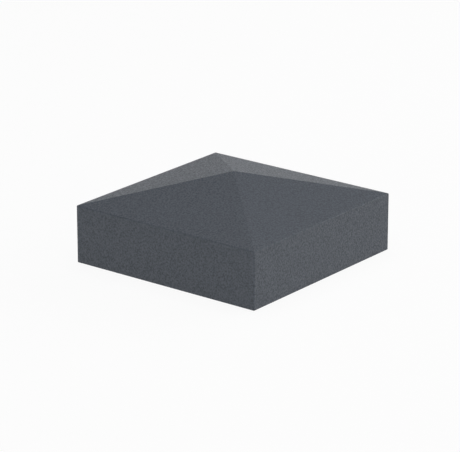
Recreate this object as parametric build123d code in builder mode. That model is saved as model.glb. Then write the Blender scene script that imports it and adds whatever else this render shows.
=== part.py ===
from build123d import *

import os
from math import cos, radians, tan

# Pyramid cap for a square post: one aluminium casting, open underneath.
# Its skirt goes down over the top of the post, and four equal slopes meet at a point above it.
# The inside follows the outside: a square socket with draft, roofed by the underside of the slopes.
# Lengths are in millimetres and angles in degrees. The origin is the middle of the open mouth, in
# the plane of the rim, and +Z points up through the tip.

# The post, and the gap that the mouth leaves on each side of it
post_width = 90.0
post_gap = 0.5

# The casting
skirt_height = 25.5
skirt_wall = 2.0
roof_wall = 2.0
slope_angle = 15.0
socket_draft = 0.5

# Edges
outer_edge_radius = 0.5
inner_edge_radius = 1.0
rim_edge_radius = 0.3
lead_in = 0.5

# Outer form: upright sides and the slopes above them
slope = tan(radians(slope_angle))
mouth_half = post_width / 2 + post_gap
cap_half = mouth_half + skirt_wall
tip_height = skirt_height + cap_half * slope

# Hollow: its slopes lie one roof wall inside the outer ones, measured square to them, and its sides
# lean in by the draft until they reach those slopes at its eaves
lean = tan(radians(socket_draft))
hollow_tip_height = tip_height - roof_wall / cos(radians(slope_angle))
hollow_eaves_half = (mouth_half - hollow_tip_height * lean) / (1 - slope * lean)
hollow_eaves_height = hollow_tip_height - hollow_eaves_half * slope


def gable(plane, foot, eaves, ridge):
    """The outline of a house's end wall, given its right-hand corners and mirrored to the left."""
    with BuildSketch(plane) as end_wall:
        with BuildLine():
            Polyline((0, 0), foot, eaves, ridge)
            mirror(about=Plane.YZ)
        make_face()
    return end_wall.sketch


def crossed_gables(foot, eaves, ridge):
    """Two bars with that outline cross at right angles. What they share has four sides and four
    slopes, and each slope is one flat face, so they meet exactly at the point and along the hips."""
    extrude(gable(Plane.XZ, foot, eaves, ridge), amount=cap_half, both=True)
    extrude(gable(Plane.YZ, foot, eaves, ridge), amount=cap_half, both=True, mode=Mode.INTERSECT)


# The hollow, which is the shape of the mould's core
with BuildPart() as hollow:
    crossed_gables(
        foot=(mouth_half, 0),
        eaves=(hollow_eaves_half, hollow_eaves_height),
        ridge=(0, hollow_tip_height),
    )
    mouth_edges = hollow.edges().group_by(Axis.Z)[0]
    fillet(hollow.edges() - mouth_edges, radius=inner_edge_radius)

# The cap, with a softened rim outside and a bevel inside that leads it on to the post
with BuildPart() as post_cap:
    crossed_gables(foot=(cap_half, 0), eaves=(cap_half, skirt_height), ridge=(0, tip_height))
    rim_edges = post_cap.edges().group_by(Axis.Z)[0]
    fillet(post_cap.edges() - rim_edges, radius=outer_edge_radius)
    fillet(post_cap.faces().sort_by(Axis.Z)[0].edges(), radius=rim_edge_radius)
    add(hollow.part, mode=Mode.SUBTRACT)
    rim = post_cap.faces().sort_by(Axis.Z)[0]
    chamfer(rim.inner_wires()[0].edges(), length=lead_in)

post_cap.part.label = "post_cap"

os.makedirs("parts", exist_ok=True)
export_step(post_cap.part, "parts/post_cap.step")
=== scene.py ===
import math

import bpy
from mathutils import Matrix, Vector


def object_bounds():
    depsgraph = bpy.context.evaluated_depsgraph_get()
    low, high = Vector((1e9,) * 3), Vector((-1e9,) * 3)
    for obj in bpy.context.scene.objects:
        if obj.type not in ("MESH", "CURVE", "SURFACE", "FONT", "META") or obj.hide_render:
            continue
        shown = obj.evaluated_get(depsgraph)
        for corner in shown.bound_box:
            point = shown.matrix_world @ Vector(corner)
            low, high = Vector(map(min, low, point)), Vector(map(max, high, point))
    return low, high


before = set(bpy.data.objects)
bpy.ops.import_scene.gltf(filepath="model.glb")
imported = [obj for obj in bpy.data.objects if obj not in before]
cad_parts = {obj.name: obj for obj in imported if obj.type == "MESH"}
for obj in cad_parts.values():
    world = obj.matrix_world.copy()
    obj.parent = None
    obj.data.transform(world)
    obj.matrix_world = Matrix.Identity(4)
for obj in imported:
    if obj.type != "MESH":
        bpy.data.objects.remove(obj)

# An aluminium cap for a square post, standing on its rim. The casting's own solid is shown, and this
# file gives it its powder coat, the floor, the light and the camera. Lengths are in metres.

MM = 0.001

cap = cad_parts["post_cap"]
cad_low, cad_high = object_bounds()
cap_width = cad_high.x - cad_low.x

# The camera, as it stood for the photograph: round from the cap's front, above the floor, and out
# from the middle of the rim by a number of cap widths. It then moves sideways and up without turning,
# which puts the cap where it lies in the photograph.
CAMERA_AZIMUTH = 38.02
CAMERA_ELEVATION = 19.09
CAMERA_DISTANCE = 12.175 * cap_width
AIM_RIGHT = -0.017 * cap_width
AIM_UP = 0.1344 * cap_width
LENS = 210.9
SENSOR = 36.0
CLIP_START = 10 * MM

# The powder coat. A real fine texture is about 0.3 mm from hill to hill, too fine to show in the
# render, so its grain is drawn coarser. The shade in its pits and the light on its hills are painted
# into its colour: the pit colour is darker with painted shade, the hill colour lighter with painted
# light. The noise behind it is turned, so that no face of the cap lies along its grid, and is levelled
# off outside the span given here.
SHADED_PIT_COLOUR = "41474e"
LIT_HILL_COLOUR = "505660"
PIT_ROUGHNESS = 0.68
HILL_ROUGHNESS = 0.38
COAT_IOR = 1.5
COAT_GRAIN = 0.7 * MM
COAT_RELIEF = 0.04 * MM
GRAIN_DETAIL = 0.5
GRAIN_SPAN = (0.3, 0.7)
GRAIN_TURN = (0.6, 0.4, 0.8)

# The hollow: the wall between it and the outer faces, the slope of the roof, and the depths below
# those faces at which a spot starts to count as in the hollow and at which it fully does
CASTING_WALL = 2.0 * MM
SLOPE = math.radians(15)
HOLLOW_DEPTH = (0.6 * CASTING_WALL, 0.95 * CASTING_WALL)

# The coat up the hollow: from where to where it thins, the part of the texture's height under which
# bare casting shows where it is thinnest, how softly such a speck ends, and how much duller it gets
SPRAY_REACH = (3.0 * MM, 26.0 * MM)
BARE_HEIGHT = 0.32
SPECK_EDGE = 0.2
CASTING_COLOUR = "64686c"
DRY_DULLNESS = 0.15

# The studio: the floor, the share of it that the camera sees as the white of a page, and the sines of
# the elevations between which the white walls turn into the dark ceiling
FLOOR_SIZE = 8.0
FLOOR_DROP = 0.05 * MM
FLOOR_COLOUR = "f8f8f8"
PAGE_SHARE = 0.9
WALL_COLOUR = "ffffff"
WALL_TOP = math.sin(math.radians(6))
CEILING_EDGE = math.sin(math.radians(16))
CEILING_STRENGTH = 0.1

# Where a Mix node of colours has its share, its two colours and its result
MIX_SHARE = 0
MIX_FIRST = 6
MIX_SECOND = 7
MIX_RESULT = 2


def direction(azimuth, elevation):
    """From the cap towards a place round it, in degrees: azimuth 0 is in front and 90 to the right."""
    turn = math.radians(azimuth)
    rise = math.radians(elevation)
    return Vector((math.sin(turn) * math.cos(rise), -math.cos(turn) * math.cos(rise), math.sin(rise)))


def linear(hex_colour):
    """An sRGB colour such as 41474e, as the linear red, green, blue and alpha that a socket takes."""
    parts = [int(hex_colour[i:i + 2], 16) / 255 for i in (0, 2, 4)]
    return [c / 12.92 if c <= 0.04045 else ((c + 0.055) / 1.055) ** 2.4 for c in parts] + [1.0]


def add_node(tree, kind, inputs=None, **settings):
    """Adds a node. inputs gives each named or numbered input a value, or an output to link from."""
    node = tree.nodes.new(kind)
    for name, value in settings.items():
        setattr(node, name, value)
    for socket, value in (inputs or {}).items():
        if isinstance(value, bpy.types.NodeSocket):
            tree.links.new(value, node.inputs[socket])
        else:
            node.inputs[socket].default_value = value
    return node


def new_material(name):
    """A material and its node tree, which is still empty."""
    material = bpy.data.materials.new(name)
    material.use_nodes = True
    material.node_tree.nodes.clear()
    return material, material.node_tree


def spray_thinness(tree, spot):
    """How thin the sprayed coat is: 0 all over the outside, and 0 to 1 up the hollow, which the
    spray hardly reaches. A spot is in the hollow when it lies a casting's wall below the outer
    faces, which are the skirt's sides and the slopes."""
    apart = add_node(tree, "ShaderNodeVectorMath", {0: spot}, operation="ABSOLUTE").outputs["Vector"]
    part = add_node(tree, "ShaderNodeSeparateXYZ", {"Vector": apart}).outputs
    from_middle = add_node(
        tree, "ShaderNodeMath", {0: part["X"], 1: part["Y"]}, operation="MAXIMUM",
    ).outputs[0]
    below_sides = add_node(
        tree, "ShaderNodeMath", {0: cap_width / 2, 1: from_middle}, operation="SUBTRACT",
    ).outputs[0]
    roof = add_node(
        tree, "ShaderNodeMath", {0: from_middle, 1: -math.tan(SLOPE), 2: cad_high.z},
        operation="MULTIPLY_ADD",
    ).outputs[0]
    below_slopes = add_node(
        tree, "ShaderNodeMath", {0: roof, 1: part["Z"]}, operation="SUBTRACT",
    ).outputs[0]
    depth = add_node(
        tree, "ShaderNodeMath", {0: below_sides, 1: below_slopes}, operation="MINIMUM",
    ).outputs[0]
    in_hollow = add_node(
        tree, "ShaderNodeMapRange",
        {"Value": depth, "From Min": HOLLOW_DEPTH[0], "From Max": HOLLOW_DEPTH[1]},
    ).outputs["Result"]
    up_hollow = add_node(
        tree, "ShaderNodeMapRange",
        {"Value": part["Z"], "From Min": SPRAY_REACH[0], "From Max": SPRAY_REACH[1]},
    ).outputs["Result"]
    return add_node(
        tree, "ShaderNodeMath", {0: in_hollow, 1: up_hollow}, operation="MULTIPLY",
    ).outputs[0]


def textured_powder_coat():
    """Polyester powder, sprayed on dry and baked, in the matt fine-textured kind. Its low hills and
    pits give the eye a dark blue-grey with a grain like fine sandpaper, duller in the pits, and a
    soft sheen only at a low angle. The shade in the pits and the light on the hills are painted
    into the colour: painted shade darkens the pits and painted light brightens the hills. Up the
    hollow it turns thin, dry and duller, and the grey of the casting shows through its pits as
    fine specks."""
    material, tree = new_material("textured_powder_coat")
    spot = add_node(tree, "ShaderNodeTexCoord").outputs["Object"]
    turned = add_node(
        tree, "ShaderNodeMapping", {"Vector": spot, "Rotation": GRAIN_TURN},
    ).outputs["Vector"]
    grain = add_node(
        tree, "ShaderNodeTexNoise",
        {"Vector": turned, "Scale": 1 / COAT_GRAIN, "Detail": GRAIN_DETAIL},
    ).outputs["Fac"]
    height = add_node(
        tree, "ShaderNodeMapRange",
        {"Value": grain, "From Min": GRAIN_SPAN[0], "From Max": GRAIN_SPAN[1]},
    ).outputs["Result"]
    # Painted shade in the pits and painted light on the hills: the grain's height mixes the darker pit
    # colour with the lighter hill colour
    coat_with_painted_grain_shade = add_node(
        tree, "ShaderNodeMix",
        {MIX_SHARE: height, MIX_FIRST: linear(SHADED_PIT_COLOUR), MIX_SECOND: linear(LIT_HILL_COLOUR)},
        data_type="RGBA",
    ).outputs[MIX_RESULT]
    coated_dullness = add_node(
        tree, "ShaderNodeMapRange",
        {"Value": height, "To Min": PIT_ROUGHNESS, "To Max": HILL_ROUGHNESS},
    ).outputs["Result"]
    thinness = spray_thinness(tree, spot)
    bare_below = add_node(
        tree, "ShaderNodeMath", {0: thinness, 1: BARE_HEIGHT}, operation="MULTIPLY",
    ).outputs[0]
    bareness = add_node(
        tree, "ShaderNodeMath", {0: bare_below, 1: height}, operation="SUBTRACT",
    ).outputs[0]
    specks = add_node(
        tree, "ShaderNodeMapRange", {"Value": bareness, "From Min": 0.0, "From Max": SPECK_EDGE},
    ).outputs["Result"]
    shade = add_node(
        tree, "ShaderNodeMix",
        {MIX_SHARE: specks, MIX_FIRST: coat_with_painted_grain_shade, MIX_SECOND: linear(CASTING_COLOUR)},
        data_type="RGBA",
    ).outputs[MIX_RESULT]
    dullness = add_node(
        tree, "ShaderNodeMath", {0: thinness, 1: DRY_DULLNESS, 2: coated_dullness},
        operation="MULTIPLY_ADD",
    ).outputs[0]
    relief = add_node(
        tree, "ShaderNodeBump", {"Height": height, "Distance": COAT_RELIEF, "Strength": 1.0},
    ).outputs["Normal"]
    coat = add_node(
        tree, "ShaderNodeBsdfPrincipled",
        {"Base Color": shade, "Roughness": dullness, "IOR": COAT_IOR, "Normal": relief},
    )
    add_node(tree, "ShaderNodeOutputMaterial", {"Surface": coat.outputs["BSDF"]})
    return material


def white_floor():
    """Plain matt white. The camera sees most of it as the white of the page, and the rest as it is
    lit, which leaves the cap's shadow on it. Reflections see the page alone."""
    material, tree = new_material("white_floor")
    rays = add_node(tree, "ShaderNodeLightPath").outputs
    page_share = add_node(
        tree, "ShaderNodeMath", {0: rays["Is Camera Ray"], 1: PAGE_SHARE}, operation="MULTIPLY",
    ).outputs[0]
    for mirrored in ("Is Glossy Ray", "Is Transmission Ray"):
        page_share = add_node(
            tree, "ShaderNodeMath", {0: page_share, 1: rays[mirrored]}, operation="MAXIMUM",
        ).outputs[0]
    lit = add_node(tree, "ShaderNodeBsdfDiffuse", {"Color": linear(FLOOR_COLOUR)}).outputs["BSDF"]
    page = add_node(tree, "ShaderNodeEmission", {"Strength": 1.0}).outputs["Emission"]
    mixed = add_node(tree, "ShaderNodeMixShader", {0: page_share, 1: lit, 2: page}).outputs["Shader"]
    add_node(tree, "ShaderNodeOutputMaterial", {"Surface": mixed})
    return material


def studio_floor():
    """A flat square under the cap. It lies a hair lower than the rim, which would flicker if both
    were in one plane."""
    half = FLOOR_SIZE / 2
    corners = [(-half, -half), (half, -half), (half, half), (-half, half)]
    mesh = bpy.data.meshes.new("studio_floor")
    mesh.from_pydata([(x, y, -FLOOR_DROP) for x, y in corners], [], [(0, 1, 2, 3)])
    mesh.materials.append(white_floor())
    floor = bpy.data.objects.new("studio_floor", mesh)
    bpy.context.scene.collection.objects.link(floor)


def soft_box(name, azimuth, elevation, distance, width, height, brightness):
    """A soft box that faces the cap. A brightness of 1 looks as bright as a white page."""
    lamp = bpy.data.lights.new(name, "AREA")
    lamp.shape = "RECTANGLE"
    lamp.size = width
    lamp.size_y = height
    lamp.energy = brightness * math.pi * width * height
    box = bpy.data.objects.new(name, lamp)
    box.location = direction(azimuth, elevation) * distance
    box.rotation_mode = "QUATERNION"
    box.rotation_quaternion = direction(azimuth, elevation).to_track_quat("Z", "Y")
    box.visible_camera = False
    bpy.context.scene.collection.objects.link(box)


def studio_world():
    """The studio's white walls and dark ceiling, the same all round. The light from each direction
    depends only on how high it is: on the sine of its elevation, which is its Generated Z."""
    world = bpy.data.worlds.new("studio_world")
    world.use_nodes = True
    tree = world.node_tree
    tree.nodes.clear()
    way = add_node(tree, "ShaderNodeTexCoord").outputs["Generated"]
    rise = add_node(tree, "ShaderNodeSeparateXYZ", {"Vector": way}).outputs["Z"]
    strength = add_node(
        tree, "ShaderNodeMapRange",
        {
            "Value": rise, "From Min": WALL_TOP, "From Max": CEILING_EDGE,
            "To Min": 1.0, "To Max": CEILING_STRENGTH,
        },
        interpolation_type="SMOOTHSTEP",
    ).outputs["Result"]
    glow = add_node(
        tree, "ShaderNodeBackground", {"Color": linear(WALL_COLOUR), "Strength": strength},
    )
    add_node(tree, "ShaderNodeOutputWorld", {"Surface": glow.outputs["Background"]})
    bpy.context.scene.world = world


def photo_camera():
    """Stands where the photograph was taken from, level from side to side."""
    back = direction(CAMERA_AZIMUTH, CAMERA_ELEVATION)
    right = direction(CAMERA_AZIMUTH + 90, 0)
    up = back.cross(right)
    data = bpy.data.cameras.new("photo_camera")
    data.lens = LENS
    data.sensor_width = SENSOR
    data.clip_start = CLIP_START
    camera = bpy.data.objects.new("photo_camera", data)
    camera.location = back * CAMERA_DISTANCE + right * AIM_RIGHT + up * AIM_UP
    camera.rotation_mode = "QUATERNION"
    camera.rotation_quaternion = (-back).to_track_quat("-Z", "Y")
    bpy.context.scene.collection.objects.link(camera)
    bpy.context.scene.camera = camera


cap.material_slots[0].material = textured_powder_coat()
studio_floor()
studio_world()
soft_box("top_box", azimuth=0, elevation=90, distance=1.35, width=1.2, height=1.2, brightness=1.85)
soft_box("front_box", azimuth=38, elevation=60, distance=1.5, width=1.0, height=0.6, brightness=2.16)
soft_box("side_box", azimuth=158, elevation=22, distance=1.5, width=2.0, height=0.6, brightness=2.37)
soft_box("back_box", azimuth=218, elevation=57, distance=1.5, width=1.0, height=0.6, brightness=0.8)
photo_camera()
bpy.context.scene.view_settings.view_transform = "Standard"
